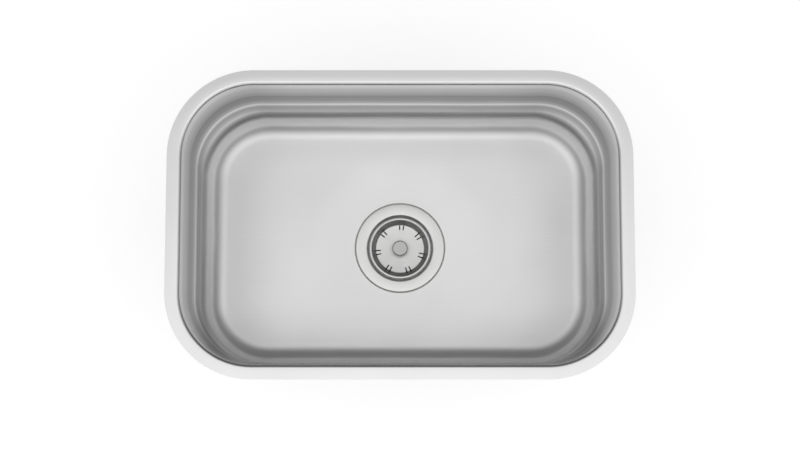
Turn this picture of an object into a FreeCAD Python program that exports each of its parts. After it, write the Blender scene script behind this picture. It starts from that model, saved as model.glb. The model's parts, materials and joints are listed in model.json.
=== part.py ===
import FreeCAD, Part
import math
import os

os.makedirs("parts", exist_ok=True)

# Undermount kitchen sink with a basket strainer waste. Millimetres, +Z up, +X right, +Y back.
# The origin is the middle of the rim's top face, which meets the underside of the worktop.

# ---- Driving dimensions ---------------------------------------------------------------

# Bowl, one deep-drawn sheet.
rim_length = 530.0
rim_width = 352.0
rim_flat = 12.5
sheet = 1.0
mouth_roll = 4.0
mouth_corner = 82.0
bowl_depth = 180.0
wall_draft = 4.0
base_fillet = 24.0

# Drain hole in the floor, for a 3 1/2 inch strainer, a little in front of the floor's middle.
drain_hole_diameter = 90.0
drain_offset = 7.5
recess_gap = 2.0
recess_slant = 1.4
dish_diameter = 236.0
dish_fall = 1.6

# Sound-deadening pads stuck to the outside.
pad_thickness = 3.0
pad_corner = 14.0
pad_margin = 12.0
pad_drain_gap = 14.0
wall_pad_height = 90.0

# Strainer body: flange, threaded cup, seat, sump and outlet collar in one casting.
flange_diameter = 114.0
flange_edge_round = 1.4
flange_roll = 4.5
cup_wall = 2.0
cup_gap = 2.5
cup_corner = 5.5
ledge_width = 2.5
ledge_thickness = 1.6
seat_width = 8.0
sump_taper = 3.0
sump_height = 10.0
bar_thickness = 4.0
bar_width = 4.0
bar_count = 4
hub_radius = 7.5
collar_wall = 3.0
collar_gap = 1.45

# Seals and the ring nut that clamps the sheet.
seal_thickness = 1.0
gasket_thickness = 3.0
friction_thickness = 1.0
ring_step = 1.5
locknut_height = 9.0
locknut_wall = 7.0
locknut_face = 2.4
locknut_lugs = 6
lug_width = 11.0
lug_reach = 5.0

# Lift-out basket.
basket_sheet = 0.8
lip_gap = 0.7
lip_width = 3.4
basket_drop = 3.4
lip_height = 3.0
basket_depth = 10.6
basket_taper = 4.8
basket_round = 2.4
slot_pairs = 7
slot_width = 1.6
slot_spacing = 4.9
slot_inner_radius = 25.0
slot_climb = 3.0
slot_turn = -4.0

# Stopper assembly that slides in the basket.
stopper_travel = 8.0
stopper_thickness = 3.0
stopper_overlap = 4.5
stopper_boss = 1.0
post_radius = 3.0
post_collar_radius = 5.0
post_collar_thickness = 1.2
knob_diameter = 19.5
knob_height = 11.5
knob_gap = 0.5
washer_radius = 11.0
washer_thickness = 1.0
post_nut_flats = 10.0
post_nut_height = 5.0
socket_wall = 1.8
socket_flange = 1.0

# Outlet: 1 1/2 inch tailpiece held by a coupling nut.
tail_diameter = 38.1
tail_wall = 1.0
tail_length = 101.6
tail_flange_thickness = 1.5
tail_washer_thickness = 1.6
coupling_grip = 12.0
coupling_floor = 3.0
coupling_wall = 4.4
neck_gap = 0.9

# Small turned roundings are cut as this many chords.
round_steps = 3

# Clearances.
slide_gap = 0.2
fit_gap = 0.05
thread_gap = 0.1
ease = 0.5

# ---- Derived sizes --------------------------------------------------------------------

draft = math.degrees(math.atan(wall_draft / bowl_depth))
rim_half_x = rim_length / 2
rim_half_y = rim_width / 2
corner_axis_x = rim_half_x - rim_flat - mouth_roll - mouth_corner
corner_axis_y = rim_half_y - rim_flat - mouth_roll - mouth_corner

drain_top = -bowl_depth
floor_top = drain_top + dish_fall
floor_under = floor_top - sheet
dish_radius = dish_diameter / 2

hole_radius = drain_hole_diameter / 2
flange_radius = flange_diameter / 2
recess_radius = flange_radius + recess_gap
recess_depth = cup_wall + seal_thickness
cup_outer = hole_radius - cup_gap
cup_inner = cup_outer - cup_wall

sheet_under = drain_top - recess_depth - sheet
gasket_under = sheet_under - gasket_thickness
friction_under = gasket_under - friction_thickness

lip_outer = cup_inner - lip_gap
lip_round = lip_width / 2
lip_crest = drain_top - basket_drop
ledge_top = lip_crest - lip_height
basket_inner = lip_outer - lip_width
basket_base = basket_inner - basket_taper
basket_floor = lip_crest - basket_depth
basket_under = basket_floor - basket_sheet

stopper_top = basket_under - slide_gap - stopper_travel
seat_top = stopper_top - stopper_thickness
sump_radius = cup_inner - cup_corner - seat_width
sump_low_radius = sump_radius - sump_taper
stopper_radius = sump_radius + stopper_overlap
bar_top = seat_top - sump_height
bar_under = bar_top - bar_thickness

tail_radius = tail_diameter / 2
collar_inner = tail_radius + collar_gap
collar_outer = collar_inner + collar_wall
collar_top = bar_under - (sump_low_radius - collar_inner)
collar_grip_top = collar_top - cup_wall - ease
collar_end = collar_grip_top - coupling_grip
tail_top = collar_end - tail_washer_thickness
tail_flange_under = tail_top - tail_flange_thickness
tail_end = tail_top - tail_length
tail_flange_radius = collar_outer - ease

knob_base = basket_floor + knob_gap
knob_top = knob_base + knob_height
stud_depth = knob_height * 0.6


# ---- Helpers --------------------------------------------------------------------------

def vector(x, y, z):
    return FreeCAD.Vector(x, y, z)


def on_circle(centre_r, centre_z, radius, deg):
    a = math.radians(deg)
    return (centre_r + radius * math.cos(a), centre_z + radius * math.sin(a))


def arc_stops(centre_r, centre_z, radius, start_deg, end_deg):
    """Two path stops for a true arc: where it starts, and where it ends with its middle point."""
    start = on_circle(centre_r, centre_z, radius, start_deg)
    middle = on_circle(centre_r, centre_z, radius, (start_deg + end_deg) / 2)
    end = on_circle(centre_r, centre_z, radius, end_deg)
    return [start, end + middle]


def chord_stops(centre_r, centre_z, radius, start_deg, end_deg):
    """Path stops along an arc, joined by straight chords."""
    stops = []
    for i in range(round_steps + 1):
        deg = start_deg + (end_deg - start_deg) * i / round_steps
        stops.append(on_circle(centre_r, centre_z, radius, deg))
    return stops


def profile(path):
    """Flat face in the XZ plane. A stop is (r, z), or (r, z, middle_r, middle_z) to end an arc."""
    edges = []
    here = vector(path[0][0], 0, path[0][1])
    for stop in path[1:] + path[:1]:
        there = vector(stop[0], 0, stop[1])
        if len(stop) == 4:
            middle = vector(stop[2], 0, stop[3])
            edges.append(Part.Arc(here, middle, there).toShape())
        elif here.distanceToPoint(there) > 1e-6:
            edges.append(Part.makeLine(here, there))
        here = there
    return Part.Face(Part.Wire(edges))


def upright(solid):
    """The solid with its faces outwards."""
    if solid.Volume < 0:
        solid.reverse()
    return solid


def turned(path):
    """Solid turned once round the Z axis."""
    return upright(profile(path).revolve(vector(0, 0, 0), vector(0, 0, 1), 360))


def flat_ring(inner, outer, top, thickness):
    """Plain flat ring."""
    return turned([(inner, top), (outer, top), (outer, top - thickness), (inner, top - thickness)])


def rod(radius, low, high):
    """Plain cylinder on the Z axis."""
    return Part.makeCylinder(radius, high - low, vector(0, 0, low))


def spun(shape, deg):
    """A copy turned about the Z axis."""
    copy = shape.copy()
    copy.rotate(vector(0, 0, 0), vector(0, 0, 1), deg)
    return copy


def at_drain(shape):
    """A copy moved from the bowl's middle to the drain's axis."""
    copy = shape.copy()
    copy.translate(vector(0, -drain_offset, 0))
    return copy


def hexagon(flats, top, height):
    """Hexagonal prism about Z, with its corners turned off on both ends."""
    corner = flats / 2 / math.cos(math.pi / 6)
    points = []
    for i in range(7):
        a = i * math.pi / 3
        points.append(vector(corner * math.cos(a), corner * math.sin(a), top - height))
    prism = Part.Face(Part.makePolygon(points)).extrude(vector(0, 0, height))
    drop = (corner - flats / 2) * 0.6
    envelope = turned([
        (0, top), (flats / 2, top), (corner, top - drop),
        (corner, top - height + drop), (flats / 2, top - height), (0, top - height)])
    return prism.common(envelope)


def rounded_block(low, high, axis, radius):
    """Box between two corners, with the four edges along one axis rounded."""
    size = [b - a for a, b in zip(low, high)]
    box = Part.makeBox(size[0], size[1], size[2], vector(*low))
    edges = []
    for edge in box.Edges:
        run = edge.BoundBox
        if (run.XLength, run.YLength, run.ZLength)[axis] > size[axis] / 2:
            edges.append(edge)
    return box.makeFillet(radius, edges)


# ---- Bowl -----------------------------------------------------------------------------

# The sheet's section is drawn once, by its distance out from a corner's axis.
roll_centre = (mouth_corner + mouth_roll, -mouth_roll)
wall_start = on_circle(roll_centre[0], roll_centre[1], mouth_roll, 180 + draft)
foot_z = floor_top + base_fillet


def wall_at(z):
    """Distance of the wall's inner face from a corner's axis, at one height."""
    return wall_start[0] - math.tan(math.radians(draft)) * (wall_start[1] - z)


foot_centre = (wall_at(foot_z) - base_fillet / math.cos(math.radians(draft)), foot_z)


def sheet_section():
    """Closed section of the sheet: rim, roll, drafted wall, round foot and floor."""
    edge = mouth_corner + mouth_roll + rim_flat
    path = [(edge, 0)]
    path += arc_stops(roll_centre[0], roll_centre[1], mouth_roll, 90, 180 + draft)
    path += arc_stops(foot_centre[0], foot_centre[1], base_fillet, -draft, -90)
    path += [(0, floor_top), (0, floor_under)]
    path += arc_stops(foot_centre[0], foot_centre[1], base_fillet + sheet, -90, -draft)
    path += arc_stops(roll_centre[0], roll_centre[1], mouth_roll - sheet, 180 + draft, 90)
    path += [(edge, -sheet)]
    return profile(path)


def drawn_tub(section):
    """The section carried round the bowl: turned at the four corners, drawn straight between."""
    x = corner_axis_x
    y = corner_axis_y
    pieces = [Part.makeBox(2 * x, 2 * y, sheet, vector(-x, -y, floor_under))]
    corner = upright(section.revolve(vector(0, 0, 0), vector(0, 0, 1), 90))
    side = upright(section.extrude(vector(0, 2 * y, 0)))
    end = spun(upright(section.extrude(vector(0, 2 * x, 0))), 90)
    places = [
        (corner, 0, x, y), (corner, 90, -x, y), (corner, 180, -x, -y), (corner, 270, x, -y),
        (side, 0, x, -y), (side, 180, -x, y), (end, 0, x, y), (end, 180, -x, -y)]
    for shape, deg, across, along in places:
        piece = spun(shape, deg)
        piece.translate(vector(across, along, 0))
        pieces.append(piece)
    return pieces[0].multiFuse(pieces[1:]).removeSplitter()


def dish_level(radius):
    """Height of the floor's top face in the dish, at one distance from the drain."""
    return drain_top + dish_fall * (radius - recess_radius) / (dish_radius - recess_radius)


def dish_form(grow):
    """Shallow cone of the floor's fall to the drain, as a solid below the floor, grown down."""
    low = drain_top - grow
    return turned([(0, floor_top), (dish_radius, floor_top), (dish_radius, floor_top - grow),
                   (recess_radius, low), (0, low)])


def make_bowl():
    """Rim, walls, floor, fall to the drain and the flange's recess, drawn from one sheet."""
    foot = recess_radius - recess_slant
    shoulder = recess_radius + sheet
    recess_top = drain_top - recess_depth
    dish = turned([
        (dish_radius, floor_top), (recess_radius, drain_top), (foot, recess_top),
        (hole_radius, recess_top), (hole_radius, sheet_under), (foot + sheet / 2, sheet_under),
        (shoulder, dish_level(shoulder) - sheet), (dish_radius, floor_under)])
    opening = rod(dish_radius, floor_under - sheet, floor_top + sheet)
    tub = drawn_tub(sheet_section()).cut(at_drain(opening))
    return tub.fuse(at_drain(dish)).removeSplitter()


# ---- Sound pads -----------------------------------------------------------------------

def make_floor_pad(side):
    """Half of the floor's underside, following the fall to the drain, clear of the drain's nut."""
    reach_x = corner_axis_x + foot_centre[0] - pad_margin
    reach_y = corner_axis_y + foot_centre[0] - pad_margin
    deep = drain_top - sheet - 2 * pad_thickness
    block = rounded_block((pad_drain_gap, -reach_y, deep), (reach_x, reach_y, floor_under), 2, pad_corner)
    flat = rounded_block((pad_drain_gap, -reach_y, floor_under - pad_thickness),
                         (reach_x, reach_y, floor_under), 2, pad_corner)
    hung = at_drain(dish_form(sheet + pad_thickness)).common(block)
    pad = flat.fuse(hung).cut(at_drain(dish_form(sheet))).removeSplitter()
    pad = pad.cut(at_drain(rod(recess_radius + pad_drain_gap, deep, floor_top)))
    return pad if side > 0 else upright(pad.mirror(vector(0, 0, 0), vector(1, 0, 0)))


def make_wall_pad(half_straight, axis_distance, deg):
    """Slab flat on the drafted outside of one wall."""
    half_length = half_straight - pad_margin / 2
    slab = rounded_block((0, -half_length, -wall_pad_height / 2),
                         (pad_thickness, half_length, wall_pad_height / 2), 0, pad_corner)
    slab.rotate(vector(0, 0, 0), vector(0, 1, 0), draft)
    middle = -bowl_depth / 2
    outside = wall_at(middle) + sheet / math.cos(math.radians(draft))
    slab.translate(vector(axis_distance + outside, 0, middle))
    return spun(slab, deg)


# ---- Strainer body and its clamping parts ---------------------------------------------

def make_strainer_body():
    """Flange, rolled mouth, ledge for the basket, cup, flat seat, sump with crossbars, collar."""
    roll_r = cup_inner + flange_roll
    roll_z = drain_top - flange_roll
    corner_r = cup_inner - cup_corner
    corner_z = seat_top + cup_corner
    ledge_r = cup_inner - ledge_width
    ledge_under = ledge_top - ledge_thickness
    path = chord_stops(roll_r, roll_z, flange_roll, 90, 180)
    path += [(cup_inner, ledge_top), (ledge_r, ledge_top), (ledge_r, ledge_under)]
    path += [(cup_inner, ledge_under - ledge_width)]
    path += chord_stops(corner_r, corner_z, cup_corner, 0, -90)
    path += [(sump_radius, seat_top), (sump_low_radius, bar_under), (collar_inner, collar_top)]
    path += [(collar_inner, collar_end), (collar_outer, collar_end)]
    path += [(collar_outer, collar_top - cup_wall / 2)]
    path += [(sump_low_radius + cup_wall, bar_under - cup_wall / 2)]
    path += [(sump_radius + cup_wall, seat_top - cup_wall)]
    path += chord_stops(corner_r, corner_z, cup_corner + cup_wall, -90, 0)
    path += chord_stops(roll_r, roll_z, flange_roll - cup_wall, 180, 90)
    path += [(flange_radius, drain_top - cup_wall), (flange_radius, drain_top - flange_edge_round)]
    path += [(flange_radius - flange_edge_round, drain_top)]
    cup = turned(path)
    bars = [rod(hub_radius, bar_under, bar_top)]
    bar = Part.makeBox(sump_low_radius + cup_wall, bar_width, bar_thickness,
                       vector(0, -bar_width / 2, bar_under))
    for i in range(bar_count):
        bars.append(spun(bar, (i + 0.5) * 360 / bar_count))
    socket_bore = post_radius + slide_gap + socket_wall + fit_gap
    crossed = cup.multiFuse(bars).removeSplitter()
    return crossed.cut(rod(socket_bore, bar_under - 1, bar_top + 1))


def make_locknut():
    """Ring nut with a broad pressing face and driving lugs."""
    top = friction_under
    under = top - locknut_height
    bore = cup_outer + thread_gap
    wall = cup_outer + locknut_wall
    face = flange_radius - 2 * ring_step
    ring = turned([
        (bore, top), (face, top), (face, top - locknut_face),
        (wall, top - locknut_face - 1), (wall, under), (bore, under)])
    inside = wall - locknut_wall / 2
    lug = rounded_block((inside, -lug_width / 2, under), (wall + lug_reach, lug_width / 2, top), 2, 2.0)
    lugs = [spun(lug, i * 360 / locknut_lugs) for i in range(locknut_lugs)]
    return ring.multiFuse(lugs).removeSplitter()


def make_centre_socket():
    """Flanged bush in the crossbars' hub that guides the post."""
    bore = post_radius + slide_gap
    barrel = bore + socket_wall
    flange = hub_radius - ease
    end = bar_under - socket_flange
    return turned([
        (bore, bar_top + socket_flange), (flange, bar_top + socket_flange), (flange, bar_top),
        (barrel, bar_top), (barrel, end), (bore, end)])


# ---- Outlet ---------------------------------------------------------------------------

def make_coupling_nut():
    """Hexagon nut that pulls the tailpiece's flange and washer against the collar."""
    bottom = tail_flange_under - coupling_floor
    grip = collar_outer + thread_gap
    neck = tail_radius + neck_gap
    nut = hexagon(2 * (collar_outer + coupling_wall), collar_grip_top, collar_grip_top - bottom)
    return nut.cut(rod(neck, bottom - 1, collar_grip_top)).cut(rod(grip, tail_flange_under, collar_grip_top))


def make_tailpiece():
    """Thin straight tube with a flat flange on top."""
    inner = tail_radius - tail_wall
    return turned([
        (inner, tail_top), (tail_flange_radius, tail_top), (tail_flange_radius, tail_flange_under),
        (tail_radius, tail_flange_under), (tail_radius, tail_end), (inner, tail_end)])


# ---- Basket and stopper ---------------------------------------------------------------

def basket_slots():
    """Cutters for the slots, in pairs round the basket's foot. One pair points nearly to the back."""
    run = basket_inner - slot_inner_radius
    tall = slot_climb + 2 * basket_sheet
    low = basket_under - basket_sheet
    half_angle = math.degrees(slot_spacing / (slot_inner_radius + basket_base))
    bar = Part.makeBox(run, slot_width, tall, vector(slot_inner_radius, -slot_width / 2, low))
    slots = []
    for pair in range(slot_pairs):
        middle = 90 + slot_turn + pair * 360 / slot_pairs
        slots.append(spun(bar, middle - half_angle))
        slots.append(spun(bar, middle + half_angle))
    return Part.makeCompound(slots)


def make_basket_cup():
    """Pressed cup with a rolled lip, a centre hole and slots round its foot."""
    roll_r = lip_outer - lip_round
    roll_z = lip_crest - lip_round
    inner = lip_round - basket_sheet
    hole = post_radius + slide_gap
    outer_base = basket_base + basket_sheet / 2
    climb = basket_round * (basket_inner - basket_base) / (roll_z - basket_floor)
    path = [(lip_outer, ledge_top)]
    path += chord_stops(roll_r, roll_z, lip_round, 0, 180)
    path += [(basket_base + climb, basket_floor + basket_round), (basket_base - basket_round, basket_floor)]
    path += [(hole, basket_floor), (hole, basket_under), (outer_base - basket_round, basket_under)]
    path += [(outer_base + climb, basket_under + basket_round)]
    path += chord_stops(roll_r, roll_z, inner, 180, 0)
    path += [(lip_outer - basket_sheet, ledge_top)]
    return turned(path).cut(basket_slots())


def make_knob():
    """Round pull with a waist for the fingers and a slightly domed top."""
    r = knob_diameter / 2
    edge = r * 0.16
    bore = post_radius + fit_gap
    crown = knob_top - edge / 4
    path = [(bore, knob_base), (r * 0.78, knob_base), (r * 0.6, knob_base + knob_height * 0.22)]
    path += [(r * 0.6, knob_base + knob_height * 0.36), (r, knob_base + knob_height * 0.7)]
    path += chord_stops(r - edge, crown - edge, edge, 0, 90)
    path += [(0, knob_top), (0, knob_base + stud_depth), (bore, knob_base + stud_depth)]
    return turned(path)


def make_post():
    """Stem from the knob down through basket, stopper and socket, with a collar on the stopper."""
    top = knob_base + stud_depth - slide_gap
    tip = bar_under - stopper_travel - 2 * post_radius
    collar_under = stopper_top - post_collar_thickness
    return turned([
        (0, top), (post_radius, top), (post_radius, stopper_top), (post_collar_radius, stopper_top),
        (post_collar_radius, collar_under), (post_radius, collar_under),
        (post_radius, tip + post_radius), (post_radius / 2, tip), (0, tip)])


def make_stopper():
    """Rubber disc that seals on the cup's seat, with a pocket for the post's collar."""
    pocket = stopper_top - post_collar_thickness
    pocket_r = post_collar_radius + fit_gap
    bore = post_radius + fit_gap
    soft = stopper_thickness / 4
    edge = stopper_radius - soft
    path = [(bore, pocket), (pocket_r, pocket), (pocket_r, stopper_top), (edge, stopper_top)]
    path += [(stopper_radius, stopper_top - soft), (stopper_radius, seat_top + soft), (edge, seat_top)]
    path += [(washer_radius + stopper_boss, seat_top), (washer_radius, seat_top - stopper_boss)]
    path += [(bore, seat_top - stopper_boss)]
    return turned(path)


def make_post_nut():
    """Hexagon nut that holds the stopper and its washer on the post."""
    top = seat_top - stopper_boss - washer_thickness
    nut = hexagon(post_nut_flats, top, post_nut_height)
    return nut.cut(rod(post_radius + fit_gap, top - post_nut_height - 1, top + 1))


# ---- Assembly -------------------------------------------------------------------------

bowl_nodes = {
    "bowl": make_bowl(),
    "floor_pad_right": make_floor_pad(1),
    "floor_pad_left": make_floor_pad(-1),
    "wall_pad_right": make_wall_pad(corner_axis_y, corner_axis_x, 0),
    "wall_pad_back": make_wall_pad(corner_axis_x, corner_axis_y, 90),
    "wall_pad_left": make_wall_pad(corner_axis_y, corner_axis_x, 180),
    "wall_pad_front": make_wall_pad(corner_axis_x, corner_axis_y, 270)}

# These pieces are made about the origin's axis and share the drain's axis.
drain_nodes = {
    "strainer_body": make_strainer_body(),
    "flange_seal": flat_ring(
        hole_radius + ease, flange_radius - ease, drain_top - cup_wall, seal_thickness),
    "sink_gasket": flat_ring(
        cup_outer + ease, flange_radius - ring_step, sheet_under, gasket_thickness),
    "friction_ring": flat_ring(
        cup_outer + ease, flange_radius - 2 * ring_step, gasket_under, friction_thickness),
    "locknut": make_locknut(),
    "centre_socket": make_centre_socket(),
    "tail_washer": flat_ring(
        collar_inner - ease, tail_flange_radius, collar_end, tail_washer_thickness),
    "coupling_nut": make_coupling_nut(),
    "tailpiece": make_tailpiece(),
    "basket_cup": make_basket_cup(),
    "basket_post": make_post(),
    "basket_knob": make_knob(),
    "basket_stopper": make_stopper(),
    "stopper_washer": flat_ring(
        post_radius + slide_gap, washer_radius, seat_top - stopper_boss, washer_thickness),
    "post_nut": make_post_nut()}

nodes = dict(bowl_nodes)
for name, shape in drain_nodes.items():
    nodes[name] = at_drain(shape)

for name, shape in nodes.items():
    shape.exportStep("parts/%s.step" % name)
    print(name, len(shape.Solids), shape.isValid(), round(shape.Volume / 1000, 2), "cm3")
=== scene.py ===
# %% [markdown]
# # A kitchen sink that hangs under a worktop
#
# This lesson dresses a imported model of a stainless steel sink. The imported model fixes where
# every piece is and how it moves, and here each piece that shows gets its smooth shape and
# its finish. All lengths are metres, so a helper turns millimetres into metres.

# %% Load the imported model
import bpy
import json
import math
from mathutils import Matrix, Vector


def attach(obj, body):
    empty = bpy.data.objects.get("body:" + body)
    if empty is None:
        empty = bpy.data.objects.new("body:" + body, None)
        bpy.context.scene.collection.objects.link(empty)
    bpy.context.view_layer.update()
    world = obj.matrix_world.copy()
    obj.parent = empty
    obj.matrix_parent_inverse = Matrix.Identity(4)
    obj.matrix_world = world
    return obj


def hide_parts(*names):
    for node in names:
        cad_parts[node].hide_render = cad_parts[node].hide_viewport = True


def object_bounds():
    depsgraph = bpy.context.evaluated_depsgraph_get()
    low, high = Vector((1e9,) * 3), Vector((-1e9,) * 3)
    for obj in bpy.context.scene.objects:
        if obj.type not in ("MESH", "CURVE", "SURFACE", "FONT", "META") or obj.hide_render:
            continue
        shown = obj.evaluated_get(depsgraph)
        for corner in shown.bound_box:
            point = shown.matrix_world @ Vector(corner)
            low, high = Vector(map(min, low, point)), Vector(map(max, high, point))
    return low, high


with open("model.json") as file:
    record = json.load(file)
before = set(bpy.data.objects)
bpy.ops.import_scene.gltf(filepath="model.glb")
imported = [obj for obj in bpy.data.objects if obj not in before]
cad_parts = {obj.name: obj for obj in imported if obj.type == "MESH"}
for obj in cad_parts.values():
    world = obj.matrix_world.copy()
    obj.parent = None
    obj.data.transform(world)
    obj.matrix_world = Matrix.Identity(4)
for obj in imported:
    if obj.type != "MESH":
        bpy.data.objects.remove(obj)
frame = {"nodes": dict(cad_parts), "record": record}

cad_low, cad_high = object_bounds()
print("packed model:", [round(v, 4) for v in cad_high - cad_low], "m")


def mm(value):
    """Millimetres as metres."""
    return value * 0.001


# %% [markdown]
# ## The camera
#
# The photograph looks straight down into the bowl from a little in front of it, so the
# camera hangs over the front edge. It tilts back a few degrees, and a small lens shift does
# the rest, because a shift keeps the rim's sides parallel where more tilt would not.

# %% Camera
camera_data = bpy.data.cameras.new("camera")
camera = bpy.data.objects.new("camera", camera_data)
bpy.context.scene.collection.objects.link(camera)
camera.location = (0, -0.1707, 1.2336)
camera.rotation_euler = (math.radians(4.86), 0, 0)
camera_data.sensor_width = 36
photo_width = 800
focal_pixels = 1101.2
camera_data.lens = focal_pixels * camera_data.sensor_width / photo_width
camera_data.shift_y = 0.070
bpy.context.scene.camera = camera
print("lens", round(camera_data.lens, 1), "mm")

# %% [markdown]
# ## Helpers for materials
#
# A material is a tree of nodes. It could be wired by hand in the shader editor, but many of
# the finishes here share the same few steps, so three small helpers make a tree, add a node
# with its links, and do sums.


# %% Node helpers
def new_material(name):
    """A material with an empty node tree, and its output."""
    material = bpy.data.materials.new(name)
    material.use_nodes = True
    tree = material.node_tree
    tree.nodes.clear()
    return material, tree


def add_node(tree, kind, inputs=None, **settings):
    """A node with its settings and the values or links of its inputs."""
    made = tree.nodes.new(kind)
    for key, value in settings.items():
        setattr(made, key, value)
    for key, value in (inputs or {}).items():
        if isinstance(value, bpy.types.NodeSocket):
            tree.links.new(value, made.inputs[key])
        else:
            made.inputs[key].default_value = value
    return made


def reckon(tree, operation, first, second=0.0, third=0.0, clamp=False):
    """A Math node's result."""
    made = add_node(tree, "ShaderNodeMath", {0: first, 1: second, 2: third},
                    operation=operation, use_clamp=clamp)
    return made.outputs[0]


print("node helpers ready")

# %% [markdown]
# ## The studio floor
#
# The floor is only there for the picture. It glows a little for the camera and for
# reflections, so that it looks white, and it still takes the sink's shadow. A lamp could make
# it white as well, but would wash out the steel. From below it is clear.

# %% Floor
bpy.ops.object.select_all(action="DESELECT")
bpy.ops.mesh.primitive_plane_add(size=40, location=(0, 0, cad_low.z - 0.0005))
floor = bpy.context.object
floor.name = "studio_floor"
floor_white, tree = new_material("studio_floor_white")
light_path = add_node(tree, "ShaderNodeLightPath")
seen = reckon(tree, "ADD", light_path.outputs["Is Camera Ray"],
              light_path.outputs["Is Glossy Ray"])
seen = reckon(tree, "ADD", seen, light_path.outputs["Is Transmission Ray"], clamp=True)
paint = add_node(tree, "ShaderNodeBsdfDiffuse", {"Color": (0.55, 0.55, 0.55, 1)})
glow = add_node(tree, "ShaderNodeEmission",
                {"Color": (1, 1, 1, 1), "Strength": reckon(tree, "MULTIPLY", seen, 0.62)})
both = add_node(tree, "ShaderNodeAddShader", {0: paint.outputs[0], 1: glow.outputs[0]})
clear = add_node(tree, "ShaderNodeBsdfTransparent")
geometry = add_node(tree, "ShaderNodeNewGeometry")
one_sided = add_node(tree, "ShaderNodeMixShader",
                     {0: geometry.outputs["Backfacing"], 1: both.outputs[0], 2: clear.outputs[0]})
add_node(tree, "ShaderNodeOutputMaterial", {"Surface": one_sided.outputs[0]})
floor.data.materials.append(floor_white)
print("floor at", round(floor.location.z, 4))

# %% [markdown]
# ## Lamp and room
#
# Steel has hardly any colour of its own: it shows what is round it. A big soft lamp above the
# bowl fills the flat floor with light. The room is bright in front and dark at the back, so
# that the walls, which mirror it, get their dark and light bands.

# %% Lamp and room
room = bpy.data.worlds.new("room")
bpy.context.scene.world = room
room.use_nodes = True
tree = room.node_tree
tree.nodes.clear()
look = add_node(tree, "ShaderNodeTexCoord").outputs["Generated"]
to_back = add_node(tree, "ShaderNodeSeparateXYZ", {0: look}).outputs["Y"]
dark_back = add_node(tree, "ShaderNodeMapRange",
                     {"Value": to_back, "From Min": -0.15, "From Max": 0.55,
                      "To Min": 0.85, "To Max": 0.10}).outputs[0]
seen_straight = add_node(tree, "ShaderNodeLightPath").outputs["Is Camera Ray"]
strength = add_node(tree, "ShaderNodeMix",
                    {"Factor": seen_straight, "A": dark_back, "B": 0.9}).outputs["Result"]
studio = add_node(tree, "ShaderNodeBackground", {"Color": (1, 1, 1, 1), "Strength": strength})
add_node(tree, "ShaderNodeOutputWorld", {"Surface": studio.outputs[0]})


def soft_lamp(name, place, aim, size, brightness):
    """A rectangular soft lamp at a place, turned towards a point. Brightness 1 looks white."""
    data = bpy.data.lights.new(name, "AREA")
    data.shape = "RECTANGLE"
    data.size, data.size_y = size
    data.energy = brightness * math.pi * size[0] * size[1]
    lamp = bpy.data.objects.new(name, data)
    bpy.context.scene.collection.objects.link(lamp)
    lamp.location = place
    direction = Vector(aim) - Vector(place)
    lamp.rotation_euler = direction.to_track_quat("-Z", "Y").to_euler()


soft_lamp("overhead_lamp", (0, -0.1, 2.4), (0, 0, -0.1), (3.2, 2.2), 0.90)
bpy.context.scene.view_settings.view_transform = "Standard"
print("lamp and room ready")

# %% [markdown]
# ## Steps that every steel shares
#
# Rolled sheet has a very fine grain, and polishing leaves lines that run along it. Noise that
# is stretched a long way in one direction gives such lines. They move the colour and the
# roughness a little, and lift the surface by a hair through a bump. Real scratches could be
# painted, but noise needs no picture and never repeats.


# %% Steps of a steel
def share_of(tree, value, low, high):
    """0 below low, 1 above high, and a soft step between."""
    return add_node(tree, "ShaderNodeMapRange", {"Value": value, "From Min": low, "From Max": high},
                    interpolation_type="SMOOTHSTEP").outputs[0]


def blend(tree, share, first, second):
    """A number between two numbers."""
    return add_node(tree, "ShaderNodeMix", {"Factor": share, "A": first, "B": second}).outputs["Result"]


def lines(tree, place, scale, detail=4.0):
    """Noise stretched into lines."""
    stretched = add_node(tree, "ShaderNodeMapping", {0: place, "Scale": scale})
    return add_node(tree, "ShaderNodeTexNoise",
                    {"Vector": stretched.outputs[0], "Scale": 1.0, "Detail": detail}).outputs["Fac"]


def finish_steel(tree, tone, rough, pattern, strength):
    """The shader of a steel, from its tone, roughness and line pattern."""
    light = reckon(tree, "MULTIPLY_ADD", pattern, 0.08, 0.96)
    colour = add_node(tree, "ShaderNodeVectorMath", {0: tone, "Scale": light},
                      operation="SCALE").outputs[0]
    bump = add_node(tree, "ShaderNodeBump",
                    {"Height": pattern, "Strength": strength, "Distance": mm(0.05)})
    steel = add_node(tree, "ShaderNodeBsdfPrincipled",
                     {"Base Color": colour, "Roughness": rough, "Metallic": 1.0,
                      "Normal": bump.outputs[0]})
    add_node(tree, "ShaderNodeOutputMaterial", {"Surface": steel.outputs[0]})


def by_height(tree, height, stops):
    """A brightness from stops of (height in mm, brightness), soft between them."""
    low, high = stops[0][0], stops[-1][0]
    share = add_node(tree, "ShaderNodeMapRange",
                     {"Value": height, "From Min": mm(low), "From Max": mm(high)})
    ramp = add_node(tree, "ShaderNodeValToRGB", {0: share.outputs[0]})
    ramp.color_ramp.interpolation = "EASE"
    while len(ramp.color_ramp.elements) < len(stops):
        ramp.color_ramp.elements.new(0.5)
    for element, (level, light) in zip(ramp.color_ramp.elements, stops):
        element.position = (level - low) / (high - low)
        element.color = (light, light, light, 1)
    return ramp.outputs[0]


print("steel helpers ready")
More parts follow.
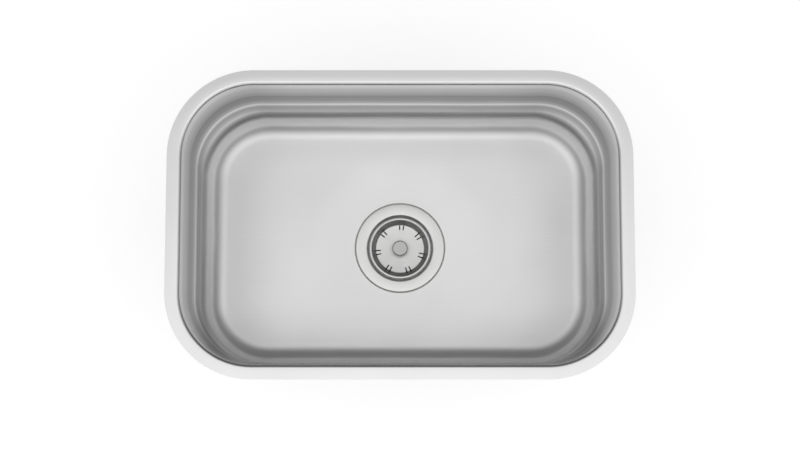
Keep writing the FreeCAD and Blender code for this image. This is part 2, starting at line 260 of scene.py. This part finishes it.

# %% [markdown]
# ## The bowl's steel
#
# The floor and the rim are satin. The walls are polished, and a polished wall shows the room
# in soft bands, one above the other. Those bands are painted reflections and painted shade in
# the steel's colour, set here by height with a slow waver, because one lamp and a plain room
# can't give them all: dark bands high on the walls, lighter ones lower down, and a painted
# highlight just above the foot. The round foot between floor and wall is the roughest, so it
# stays a light line from every side.

# %% Bowl steel
# Stops of (height in mm, brightness) of the painted reflection bands and painted shade, from the floor
# up to the rim.
painted_reflection_bands = (
    (-179, 0.70), (-174, 0.62), (-169, 0.98), (-159, 1.0), (-153, 0.80), (-148, 0.60),
    (-141, 0.46), (-136, 0.62), (-118, 0.84), (-108, 0.46), (-98, 0.30), (-91, 0.42),
    (-86, 0.78), (-79, 0.36), (-66, 0.18), (-50, 0.15), (-45, 0.27), (-26, 0.42),
    (-8, 0.66), (-2, 0.66), (0, 0.66))
foot_line = ((-176, 0), (-170, 1), (-158, 1), (-152, 0))


def bowl_steel(name):
    """Satin on the floor and the rim, polished on the walls, with painted reflection bands, painted
    shade and a painted highlight in the colour by height.
    """
    material, tree = new_material(name)
    place = add_node(tree, "ShaderNodeTexCoord").outputs["Object"]
    height = add_node(tree, "ShaderNodeSeparateXYZ", {0: place}).outputs["Z"]
    raised = share_of(tree, height, mm(-178), mm(-166))
    rim = share_of(tree, height, mm(-3.0), mm(-0.6))
    along_floor = lines(tree, place, (12, 900, 900))
    round_walls = lines(tree, place, (9, 9, 1100))
    pattern = blend(tree, raised, along_floor, round_walls)
    smears = lines(tree, place, (9, 9, 9), 5.0)
    rough = blend(tree, raised, 0.48, 0.50)
    rough = blend(tree, by_height(tree, height, foot_line), rough, 0.80)
    rough = blend(tree, share_of(tree, height, mm(-158), mm(-148)), rough, 0.13)
    rough = blend(tree, rim, rough, 0.42)
    rough = reckon(tree, "ADD", rough, reckon(tree, "MULTIPLY_ADD", pattern, 0.08, -0.04))
    rough = reckon(tree, "ADD", rough, reckon(tree, "MULTIPLY_ADD", smears, 0.06, -0.03))
    waver = reckon(tree, "MULTIPLY_ADD", lines(tree, place, (7, 7, 14), 2.0), mm(5), mm(-2.5))
    # The colour is painted by height: reflection bands, shade high on the walls and a highlight above
    # the foot.
    tone = by_height(tree, reckon(tree, "ADD", height, waver), painted_reflection_bands)
    finish_steel(tree, tone, rough, pattern, 0.10)
    return material


satin_steel = bowl_steel("satin_steel")
print("bands in the bowl's steel:", len(painted_reflection_bands))

# %% [markdown]
# ## Turned and rolled steel
#
# A lathe leaves fine rings round the axis, so the noise of the strainer's steel is stretched
# round the drain. The outside of the bowl is left as rolled and drawn, duller and in patches,
# because nobody looks at it once it hangs under a worktop.

# %% Turned and rolled steel
drain_at = Vector((0, -0.0075, 0))


def turned_steel(name, tone, rough):
    """Steel polished on a lathe: fine rings, by distance from the drain's axis and by height."""
    material, tree = new_material(name)
    place = add_node(tree, "ShaderNodeTexCoord").outputs["Object"]
    place = add_node(tree, "ShaderNodeVectorMath", {0: place, 1: -drain_at}).outputs[0]
    parts = add_node(tree, "ShaderNodeSeparateXYZ", {0: place})
    flat = add_node(tree, "ShaderNodeCombineXYZ", {"X": parts.outputs["X"], "Y": parts.outputs["Y"]})
    radius = add_node(tree, "ShaderNodeVectorMath", {0: flat.outputs[0]},
                      operation="LENGTH").outputs["Value"]
    ring = add_node(tree, "ShaderNodeCombineXYZ", {"X": radius, "Y": 0.0, "Z": parts.outputs["Z"]})
    pattern = lines(tree, ring.outputs[0], (1400, 1, 1400))
    smears = lines(tree, place, (40, 40, 40), 4.0)
    wear = reckon(tree, "MULTIPLY_ADD", pattern, 0.10, rough - 0.05)
    wear = reckon(tree, "ADD", wear, reckon(tree, "MULTIPLY_ADD", smears, 0.08, -0.04))
    shade = add_node(tree, "ShaderNodeRGB")
    shade.outputs[0].default_value = (*tone, 1)
    finish_steel(tree, shade.outputs[0], wear, pattern, 0.08)
    return material


def mill_steel(name):
    """Steel as rolled and drawn, left unpolished where nobody looks."""
    material, tree = new_material(name)
    place = add_node(tree, "ShaderNodeTexCoord").outputs["Object"]
    pattern = lines(tree, place, (14, 14, 700))
    patches = lines(tree, place, (14, 14, 22), 5.0)
    dark, light = (0.46, 0.46, 0.455, 1), (0.58, 0.58, 0.575, 1)
    tone = add_node(tree, "ShaderNodeMix", {"Factor": patches, "A": dark, "B": light},
                    data_type="RGBA").outputs["Result"]
    finish_steel(tree, tone, reckon(tree, "MULTIPLY_ADD", patches, 0.20, 0.30), pattern, 0.15)
    return material


outside_steel = mill_steel("outside_steel")
polished_steel = turned_steel("polished_steel", (0.50, 0.50, 0.495), 0.28)
pressed_steel = turned_steel("pressed_steel", (0.55, 0.55, 0.545), 0.42)
knob_steel = turned_steel("knob_steel", (0.36, 0.36, 0.355), 0.34)
print("steels ready")

# %% [markdown]
# ## Rubber, putty, fibre, brass, nylon and plating
#
# The pieces under the floor are plainer. Each finish mixes two tones with noise, so that no
# face is a single flat colour, and gets a bump of its own: a fine cloth grain on the sound
# pads, sand marks on cast brass, fibres in the friction ring.


# %% Other finishes
def mixed_finish(name, dark, light, scale, rough, metallic=0.0, bump=0.2, depth=0.2):
    """Two tones mixed by noise, with a bump from the same noise."""
    material, tree = new_material(name)
    place = add_node(tree, "ShaderNodeTexCoord").outputs["Object"]
    patches = lines(tree, place, scale, 6.0)
    speck = lines(tree, place, (1500, 1500, 1500), 2.0)
    tone = add_node(tree, "ShaderNodeMix", {"Factor": patches, "A": (*dark, 1), "B": (*light, 1)},
                    data_type="RGBA").outputs["Result"]
    wear = reckon(tree, "MULTIPLY_ADD", patches, 0.16, rough - 0.08)
    height = reckon(tree, "MULTIPLY_ADD", speck, 0.3, patches)
    lift = add_node(tree, "ShaderNodeBump", {"Height": height, "Strength": bump, "Distance": mm(depth)})
    surface = add_node(tree, "ShaderNodeBsdfPrincipled",
                       {"Base Color": tone, "Roughness": wear, "Metallic": metallic,
                        "Normal": lift.outputs[0]})
    add_node(tree, "ShaderNodeOutputMaterial", {"Surface": surface.outputs[0]})
    return material


pad_rubber = mixed_finish("pad_rubber", (0.10, 0.10, 0.105), (0.19, 0.19, 0.195),
                          (420, 420, 420), 0.85, bump=0.5, depth=0.4)
black_rubber = mixed_finish("black_rubber", (0.018, 0.018, 0.018), (0.045, 0.045, 0.045),
                            (160, 160, 160), 0.60)
putty = mixed_finish("putty", (0.42, 0.41, 0.38), (0.58, 0.57, 0.53),
                     (140, 140, 140), 0.55, bump=0.4)
fibre = mixed_finish("fibre", (0.30, 0.17, 0.09), (0.52, 0.33, 0.19),
                     (900, 900, 120), 0.80, bump=0.5)
cast_brass = mixed_finish("cast_brass", (0.50, 0.36, 0.16), (0.74, 0.57, 0.29),
                          (230, 230, 230), 0.42, metallic=1.0, bump=0.35)
nylon = mixed_finish("nylon", (0.74, 0.74, 0.70), (0.86, 0.86, 0.83),
                     (120, 120, 120), 0.45, bump=0.1)
plated_brass = mixed_finish("plated_brass", (0.70, 0.70, 0.71), (0.82, 0.82, 0.83),
                            (60, 60, 260), 0.14, metallic=1.0, bump=0.05)
print("other finishes ready")

# %% [markdown]
# ## The bowl
#
# The real bowl starts as one flat sheet and is drawn down in a press. The same can be done
# here: a flat face is inset again and again, and each inset goes a little deeper. An inset
# keeps its distance from the edge, so the corners stay round about one axis all the way down.

# %% Sizes of the bowl
# Millimetres. A section point is (distance out from a corner's axis, height).
rim_half = (265.0, 176.0)
rim_corner = 98.5
roll = 4.0
floor_top = -178.4
foot = 24.0
draft = math.atan(4 / 180)
roll_centre = (86.0, -4.0)
foot_centre = (54.66, -154.4)
dish_radius = 118.0
sheet = 1.0


def arc(centre, radius, start, end, steps):
    """Points along an arc, as distance out and height."""
    points = []
    for i in range(steps + 1):
        a = start + (end - start) * i / steps
        points.append((centre[0] + radius * math.cos(a), centre[1] + radius * math.sin(a)))
    return points


def straight(start, end, steps):
    """Points along a straight line, without its first."""
    return [tuple(a + (b - a) * i / steps for a, b in zip(start, end)) for i in range(1, steps + 1)]


section = [(rim_corner, 0.0)]
section += straight(section[-1], (roll_centre[0], 0.0), 2)
section += arc(roll_centre, roll, math.pi / 2, math.pi + draft, 8)[1:]
wall_foot = arc(foot_centre, foot, -draft, -math.pi / 2, 18)
section += straight(section[-1], wall_foot[0], 14)
section += wall_foot[1:]
print("steps down the bowl:", len(section))

# %% [markdown]
# ## Picking out vertices and edges
#
# By hand one clicks on an edge or draws a box round it. A script has no mouse, so it asks a
# question of every vertex or edge and selects the ones that answer yes.

# %% Selecting by place
import bmesh


def select_in(piece, test):
    """Selects the vertices, and the edges between them, that pass a test of their place."""
    bpy.ops.mesh.select_mode(type="VERT")
    bpy.ops.mesh.select_all(action="DESELECT")
    mesh = bmesh.from_edit_mesh(piece.data)
    for vertex in mesh.verts:
        vertex.select_set(bool(test(vertex.co)))
    mesh.select_flush(True)
    bmesh.update_edit_mesh(piece.data)


def select_edges(piece, test):
    """Selects the edges that pass a test."""
    bpy.ops.mesh.select_mode(type="EDGE")
    bpy.ops.mesh.select_all(action="DESELECT")
    mesh = bmesh.from_edit_mesh(piece.data)
    for edge in mesh.edges:
        edge.select_set(bool(test(edge)))
    mesh.select_flush_mode()
    bmesh.update_edit_mesh(piece.data)


print("selection helpers ready")

# %% [markdown]
# ## Drawing the bowl down
#
# A plane gets the rim's size and its corners are rounded with a vertex bevel. Its long sides
# are then cut into shorter pieces. After that each inset of the one face is a step down the
# section: over the flat rim, round the roll, down the wall and round the foot.

# %% Draw the bowl down
bpy.ops.object.select_all(action="DESELECT")
bpy.ops.mesh.primitive_plane_add(size=1.0, location=(0, 0, 0))
bowl = bpy.context.object
bowl.name = "bowl_sheet"
bpy.ops.object.mode_set(mode="EDIT")
bpy.ops.transform.resize(value=(mm(2 * rim_half[0]), mm(2 * rim_half[1]), 1))
bpy.ops.mesh.delete(type="ONLY_FACE")
bpy.ops.mesh.select_all(action="SELECT")
bpy.ops.mesh.bevel(affect="VERTICES", offset=mm(rim_corner), segments=32)
for shortest, longest, cuts in ((200, 400, 29), (100, 200, 13)):
    select_edges(bowl, lambda edge: mm(shortest) < edge.calc_length() < mm(longest))
    bpy.ops.mesh.subdivide(number_cuts=cuts)
bpy.ops.mesh.select_all(action="SELECT")
bpy.ops.mesh.edge_face_add()
bpy.ops.mesh.select_mode(type="FACE")
bpy.ops.mesh.select_all(action="SELECT")
if [face.normal.z for face in bmesh.from_edit_mesh(bowl.data).faces][0] < 0:
    bpy.ops.mesh.flip_normals()
for here, there in zip(section, section[1:]):
    bpy.ops.mesh.inset(thickness=mm(here[0] - there[0]), depth=mm(there[1] - here[1]))
bpy.ops.mesh.delete(type="ONLY_FACE")
bpy.ops.object.mode_set(mode="OBJECT")
print("bowl without its floor:", len(bowl.data.polygons), "faces")

# %% [markdown]
# ## The floor and its fall to the drain
#
# The floor goes from a rounded rectangle to a circle. The bowl's lowest edge is extruded once
# more, and pushing that copy out to a sphere makes it a circle. From the circle inwards every
# ring is extruded, made smaller and lowered: the shallow dish, the recess for the strainer's
# flange and the edge of the drain hole.

# %% Floor and recess
recess_top = -180.0
recess_foot = -183.0
dish_end = (59.2, recess_top + 0.03)
dish_steps = 12
dish = []
for i in range(1, dish_steps + 1):
    share = i / dish_steps
    # Half a straight slope and half a soft one, so that the dish starts without a crease.
    ease = share * share * (3 - 2 * share) * 0.5 + share * 0.5
    dish.append((dish_radius + (dish_end[0] - dish_radius) * share,
                 floor_top + (dish_end[1] - floor_top) * ease))
recess = arc((58.8, recess_top - 0.77), 0.8, math.pi / 2, math.pi, 5)
recess += arc((57.1, recess_foot + 0.7), 0.7, 0, -math.pi / 2, 4)
recess += straight(recess[-1], (45.0, recess_foot), 3)


def on_dish(place):
    """Whether a place is on the dish's outer circle."""
    return abs((place - drain_at).xy.length - mm(dish_radius)) < 1e-5 and place.z < mm(floor_top + 0.01)


bpy.ops.object.mode_set(mode="EDIT")
select_in(bowl, lambda place: place.z < mm(floor_top + 0.01))
middle = (0, 0, mm(floor_top))
bpy.ops.mesh.extrude_region_move(TRANSFORM_OT_translate={"value": (0, 0, 0)})
bpy.ops.transform.tosphere(value=1, center_override=middle)
ring = [vertex.co for vertex in bmesh.from_edit_mesh(bowl.data).verts if vertex.select]
scale = mm(dish_radius) / ring[0].xy.length
bpy.ops.transform.resize(value=(scale, scale, 1), center_override=middle)
bpy.ops.transform.translate(value=drain_at)
select_edges(bowl, lambda edge: on_dish(edge.verts[0].co) != on_dish(edge.verts[1].co))
bpy.ops.mesh.subdivide(number_cuts=6)
select_in(bowl, on_dish)
here = (dish_radius, floor_top)
for there in dish + recess:
    bpy.ops.mesh.extrude_region_move(TRANSFORM_OT_translate={"value": (0, 0, mm(there[1] - here[1]))})
    scale = there[0] / here[0]
    bpy.ops.transform.resize(value=(scale, scale, 1), center_override=drain_at)
    here = there
bpy.ops.mesh.select_all(action="SELECT")
bpy.ops.mesh.normals_make_consistent(inside=False)
bpy.ops.object.mode_set(mode="OBJECT")
print("bowl with its floor:", len(bowl.data.polygons), "faces")

# %% [markdown]
# ## The sheet's thickness
#
# So far the bowl is the face that one sees. The sheet is 1 mm thick, and the thickness goes
# to the outside, so that the inside keeps its size.


# %% Thickness
def face_up(piece):
    """Turns the faces so that the widest ones point up."""
    total = sum(face.normal.z * face.area for face in piece.data.polygons)
    if total < 0:
        bpy.ops.object.mode_set(mode="EDIT")
        bpy.ops.mesh.select_all(action="SELECT")
        bpy.ops.mesh.flip_normals()
        bpy.ops.object.mode_set(mode="OBJECT")


def use_modifier(piece, kind, **settings):
    """Adds a modifier, sets it and applies it."""
    bpy.ops.object.select_all(action="DESELECT")
    piece.select_set(True)
    bpy.context.view_layer.objects.active = piece
    modifier = piece.modifiers.new(kind.lower(), kind)
    for key, value in settings.items():
        setattr(modifier, key, value)
    bpy.ops.object.modifier_apply(modifier=modifier.name)


def smooth(piece, degrees=35):
    """Smooth shading that keeps edges sharper than an angle."""
    bpy.ops.object.select_all(action="DESELECT")
    piece.select_set(True)
    bpy.context.view_layer.objects.active = piece
    bpy.ops.object.shade_smooth_by_angle(angle=math.radians(degrees))


face_up(bowl)
bowl.data.materials.append(satin_steel)
bowl.data.materials.append(outside_steel)
use_modifier(bowl, "SOLIDIFY", thickness=mm(sheet), offset=-1.0, material_offset=1)
smooth(bowl)
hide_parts("bowl")
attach(bowl, "sink")
print("bowl:", [round(v, 4) for v in bowl.dimensions])

# %% [markdown]
# ## Turned pieces
#
# The strainer, its basket and the knob are round, as made on a lathe. Their half section is
# drawn from point to point by extruding one vertex, and a spin carries it round. Corners in
# the section get a small arc, because no real edge is quite sharp.


# %% Helpers for turned pieces
def rounded(stops):
    """Section points from stops (radius, height, rounding): each rounding becomes an arc."""
    points = []
    count = len(stops)
    for i, stop in enumerate(stops):
        size = stop[2] if len(stop) > 2 else 0
        corner = Vector((stop[0], stop[1]))
        if not size:
            points.append((corner.x, corner.y))
            continue
        before = (Vector(stops[i - 1][:2]) - corner).normalized()
        after = (Vector(stops[(i + 1) % count][:2]) - corner).normalized()
        half = before.angle(after) / 2
        reach = size / math.tan(half)
        centre = corner + (before + after).normalized() * (size / math.sin(half))
        start = corner + before * reach - centre
        turn = start.angle_signed(corner + after * reach - centre)
        steps = max(2, round(abs(turn) / math.radians(15)))
        for k in range(steps + 1):
            arm = start.copy()
            arm.rotate(Matrix.Rotation(-turn * k / steps, 2))
            points.append((centre.x + arm.x, centre.y + arm.y))
    return points


def thread(radius, start, end):
    """Section stops of thread grooves along an upright face, from one height to another."""
    pitch = 1.6
    depth = 0.45
    stops = []
    count = int(abs(end - start) / pitch)
    step = (end - start) / count
    for i in range(count):
        level = start + i * step
        stops += [(radius, level + 0.12 * step), (radius - depth, level + 0.45 * step),
                  (radius - depth, level + 0.65 * step), (radius, level + 0.98 * step)]
    return stops


def draw_section(name, points, closed=True):
    """A half section in the XZ plane, drawn by extruding one vertex."""
    bpy.ops.object.select_all(action="DESELECT")
    bpy.ops.mesh.primitive_plane_add(size=0.01, location=(0, 0, 0))
    piece = bpy.context.object
    piece.name = name
    bpy.ops.object.mode_set(mode="EDIT")
    bpy.ops.mesh.select_mode(type="VERT")
    bpy.ops.mesh.select_all(action="SELECT")
    bpy.ops.mesh.merge(type="CENTER")
    bpy.ops.transform.translate(value=(mm(points[0][0]), 0, mm(points[0][1])))
    for here, there in zip(points, points[1:]):
        step = (mm(there[0] - here[0]), 0, mm(there[1] - here[1]))
        bpy.ops.mesh.extrude_region_move(TRANSFORM_OT_translate={"value": step})
    bpy.ops.mesh.select_all(action="SELECT")
    if closed:
        bpy.ops.mesh.edge_face_add()
        bpy.ops.mesh.delete(type="ONLY_FACE")
        bpy.ops.mesh.select_all(action="SELECT")
    return piece


def turned(name, stops, closed=True, steps=128):
    """A piece turned about the upright axis from its half section."""
    piece = draw_section(name, rounded(stops), closed)
    bpy.ops.mesh.spin(steps=steps, angle=2 * math.pi, center=(0, 0, 0), axis=(0, 0, 1))
    bpy.ops.mesh.select_all(action="SELECT")
    bpy.ops.mesh.remove_doubles(threshold=1e-6)
    bpy.ops.mesh.normals_make_consistent(inside=False)
    bpy.ops.transform.translate(value=drain_at)
    bpy.ops.object.mode_set(mode="OBJECT")
    smooth(piece)
    print(name, len(piece.data.polygons), "faces")
    return piece


def dress(piece, material, slot, body, *nodes):
    """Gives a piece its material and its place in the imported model."""
    piece.data.materials.clear()
    piece.data.materials.append(material)
    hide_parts(*nodes)
    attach(piece, body)


# %% [markdown]
# ## The strainer body
#
# The body drops into the floor's hole from above. Its broad flange closes the recess, its
# mouth rolls over into the cup, and a small ledge inside carries the basket. Below are the
# flat seat for the stopper, the sump with its crossbars and the collar for the tailpiece.

# %% Strainer body
strainer = turned("strainer_body_turned", [
    (40.5, -180.0, 3.9), (40.5, -186.4, 0.3), (38.0, -186.4, 0.3), (38.0, -188.0, 0.4),
    (40.5, -190.5, 1.0), (40.5, -206.0, 5.4), (27.0, -206.0, 0.8), (24.0, -220.0, 1.0),
    (20.5, -223.5, 0.5), (20.5, -238.0, 0.3), (23.5, -238.0, 0.3)
] + thread(23.5, -237.0, -225.5) + [
    (23.5, -224.6, 0.5), (26.0, -221.0, 1.0), (29.0, -208.0, 1.0), (42.5, -208.0, 7.0)
] + thread(42.5, -200.5, -184.5) + [
    (42.5, -182.0, 1.0), (57.0, -182.0, 0.3), (57.0, -180.0, 0.7)])
bars = []
for angle in (45, 135, 225, 315):
    bpy.ops.object.select_all(action="DESELECT")
    bpy.ops.mesh.primitive_cube_add(size=1, location=(0, 0, 0))
    bar = bpy.context.object
    bpy.ops.object.mode_set(mode="EDIT")
    bpy.ops.transform.resize(value=(mm(20.5), mm(4), mm(4)))
    bpy.ops.transform.translate(value=(mm(15.5), 0, mm(-218)))
    bpy.ops.mesh.select_all(action="SELECT")
    bpy.ops.mesh.bevel(offset=mm(0.5), segments=2)
    bpy.ops.mesh.select_all(action="SELECT")
    bpy.ops.transform.rotate(value=math.radians(-angle), orient_axis="Z",
                             center_override=(0, 0, 0))
    bpy.ops.transform.translate(value=drain_at)
    bpy.ops.object.mode_set(mode="OBJECT")
    smooth(bar)
    bars.append(bar)
hub = turned("strainer_hub", [
    (5.1, -216.0, 0.2), (7.5, -216.0, 0.5), (7.5, -220.0, 0.5), (5.1, -220.0, 0.2)], steps=64)
bpy.ops.object.select_all(action="DESELECT")
for piece in bars + [hub, strainer]:
    piece.select_set(True)
bpy.context.view_layer.objects.active = strainer
bpy.ops.object.join()
dress(strainer, polished_steel, "polished_steel", "sink", "strainer_body")

# %% [markdown]
# ## The seal
#
# A ring of putty lies under the flange. When the nut below is tightened some of it squeezes
# out, and a thin bead stays in the gap between the flange's edge and the recess.

# %% Flange seal
seal = turned("flange_seal_bead", [
    (45.5, -182.0, 0.3), (57.02, -182.0, 0.0), (57.05, -181.0, 0.0), (57.9, -181.1, 0.2),
    (57.9, -182.0, 0.1), (57.2, -182.6, 0.3), (56.5, -182.95, 0.3), (45.5, -182.95, 0.3)])
dress(seal, putty, "putty", "sink", "flange_seal")

# %% [markdown]
# ## The basket
#
# The basket is pressed from thin sheet. Its lip rolls over and sits on the ledge, its sides
# slope in, and seven pairs of slots are punched through the round of its foot.

# %% Basket cup
basket = turned("basket_cup_pressed", [
    (39.8, -186.4, 0.0), (39.8, -183.4, 1.0), (36.4, -183.4, 1.1), (36.2, -186.2, 0.0),
    (31.6, -194.0, 2.4), (3.2, -194.0, 0.0), (3.2, -194.8, 0.0), (32.0, -194.8, 3.2),
    (37.2, -186.2, 0.0), (37.2, -184.2, 0.8), (39.0, -184.2, 0.8), (39.0, -186.4, 0.0)])

# %% [markdown]
# ## The slots
#
# A press punches all the slots in one go. Here one cutter with rounded ends is modelled and
# copied to each slot, and a single boolean takes them all out of the basket.

# %% Slots
slot_pairs = 7
first_pair = 86
slot_half_angle = 4.95
bpy.ops.object.select_all(action="DESELECT")
bpy.ops.mesh.primitive_cube_add(size=1, location=(0, 0, 0))
cutter = bpy.context.object
cutter.name = "slot_cutter"
bpy.ops.object.mode_set(mode="EDIT")
bpy.ops.transform.resize(value=(mm(11.4), mm(1.6), mm(6)))
bpy.ops.transform.translate(value=(mm(30.7), 0, mm(-194.2)))
select_edges(cutter, lambda edge: abs(edge.verts[0].co.z - edge.verts[1].co.z) > mm(3))
bpy.ops.mesh.bevel(offset=mm(0.75), segments=4)
bpy.ops.object.mode_set(mode="OBJECT")
copies = []
for pair in range(slot_pairs):
    for side in (-1, 1):
        copy = cutter.copy()
        copy.data = cutter.data.copy()
        bpy.context.scene.collection.objects.link(copy)
        angle = first_pair + pair * 360 / slot_pairs + side * slot_half_angle
        copy.data.transform(Matrix.Rotation(math.radians(angle), 4, "Z"))
        copy.data.transform(Matrix.Translation(drain_at))
        copies.append(copy)
bpy.data.objects.remove(cutter)
bpy.ops.object.select_all(action="DESELECT")
for copy in copies:
    copy.select_set(True)
bpy.context.view_layer.objects.active = copies[0]
bpy.ops.object.join()
cutters = bpy.context.object
use_modifier(basket, "BOOLEAN", operation="DIFFERENCE", object=cutters, solver="EXACT")
bpy.data.objects.remove(cutters)
smooth(basket)
dress(basket, pressed_steel, "polished_steel", "basket", "basket_cup")
print("slots punched:", len(basket.data.polygons), "faces")

# %% [markdown]
# ## The knob
#
# The pull is turned from solid bar. It has a waist for two fingers and a flat top with a soft
# edge. Its section starts and ends on the axis, so the spin closes it without a hole.

# %% Knob
knob = turned("basket_knob_turned", [
    (0, -193.5), (7.6, -193.5, 0.4), (5.85, -190.9, 0.8), (5.85, -189.4, 1.2), (9.75, -185.4, 0.6),
    (9.75, -182.0, 1.3), (8.0, -182.0, 0.0), (0, -182.0)], closed=False)
dress(knob, knob_steel, "knob_steel", "stopper", "basket_knob")

# %% [markdown]
# ## Soft edges for the pieces under the floor
#
# Cut rubber, cast brass and turned nylon have no razor edges, and a small round on each edge
# catches the light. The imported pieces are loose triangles, so a copy is merged first, and
# then a bevel goes on the edges that are sharper than an angle.


# %% Soft edges
def softened(node, width, body, material, slot, angle=40):
    """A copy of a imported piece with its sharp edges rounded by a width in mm."""
    packed = frame["nodes"][node]
    mesh = packed.data.copy()
    mesh.transform(packed.matrix_world)
    piece = bpy.data.objects.new(node + "_soft", mesh)
    bpy.context.scene.collection.objects.link(piece)
    bpy.ops.object.select_all(action="DESELECT")
    piece.select_set(True)
    bpy.context.view_layer.objects.active = piece
    bpy.ops.object.mode_set(mode="EDIT")
    bpy.ops.mesh.select_all(action="SELECT")
    bpy.ops.mesh.remove_doubles(threshold=1e-6)
    bpy.ops.mesh.dissolve_limited(angle_limit=math.radians(0.2))
    bpy.ops.mesh.select_all(action="SELECT")
    bpy.ops.mesh.normals_make_consistent(inside=False)
    bpy.ops.object.mode_set(mode="OBJECT")
    use_modifier(piece, "BEVEL", width=mm(width), segments=3, limit_method="ANGLE",
                 angle_limit=math.radians(angle))
    smooth(piece, 30)
    dress(piece, material, slot, body, node)
    print(piece.name, len(piece.data.polygons), "faces")


for pad in ("floor_pad_left", "floor_pad_right", "wall_pad_front", "wall_pad_back",
            "wall_pad_left", "wall_pad_right"):
    softened(pad, 0.9, "sink", pad_rubber, "pad_rubber")
softened("locknut", 0.5, "sink", cast_brass, "cast_brass")
softened("coupling_nut", 0.5, "sink", plated_brass, "plated_brass", 25)
softened("post_nut", 0.25, "stopper", polished_steel, "polished_steel", 25)
softened("sink_gasket", 0.6, "sink", black_rubber, "black_rubber")
softened("friction_ring", 0.15, "sink", fibre, "fibre")
softened("tail_washer", 0.25, "sink", nylon, "nylon")
softened("centre_socket", 0.2, "sink", nylon, "nylon")
softened("stopper_washer", 0.2, "stopper", polished_steel, "polished_steel")
softened("basket_stopper", 0.2, "stopper", black_rubber, "black_rubber")
softened("basket_post", 0.2, "stopper", polished_steel, "polished_steel")
softened("tailpiece", 0.2, "sink", plated_brass, "plated_brass")

# %% [markdown]
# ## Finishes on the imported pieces
#
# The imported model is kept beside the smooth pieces, and a reader may look at it alone. So each
# of its pieces takes the finish that its record names, instead of a plain colour.

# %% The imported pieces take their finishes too
finishes = {"satin_steel": satin_steel, "polished_steel": polished_steel, "knob_steel": knob_steel,
            "pad_rubber": pad_rubber, "black_rubber": black_rubber, "putty": putty, "fibre": fibre,
            "cast_brass": cast_brass, "nylon": nylon, "plated_brass": plated_brass}
for entry in frame["record"]["subparts"]:
    node = frame["nodes"][entry["node"]]
    for slot in node.material_slots:
        slot.material = finishes[entry["material_slot"]]
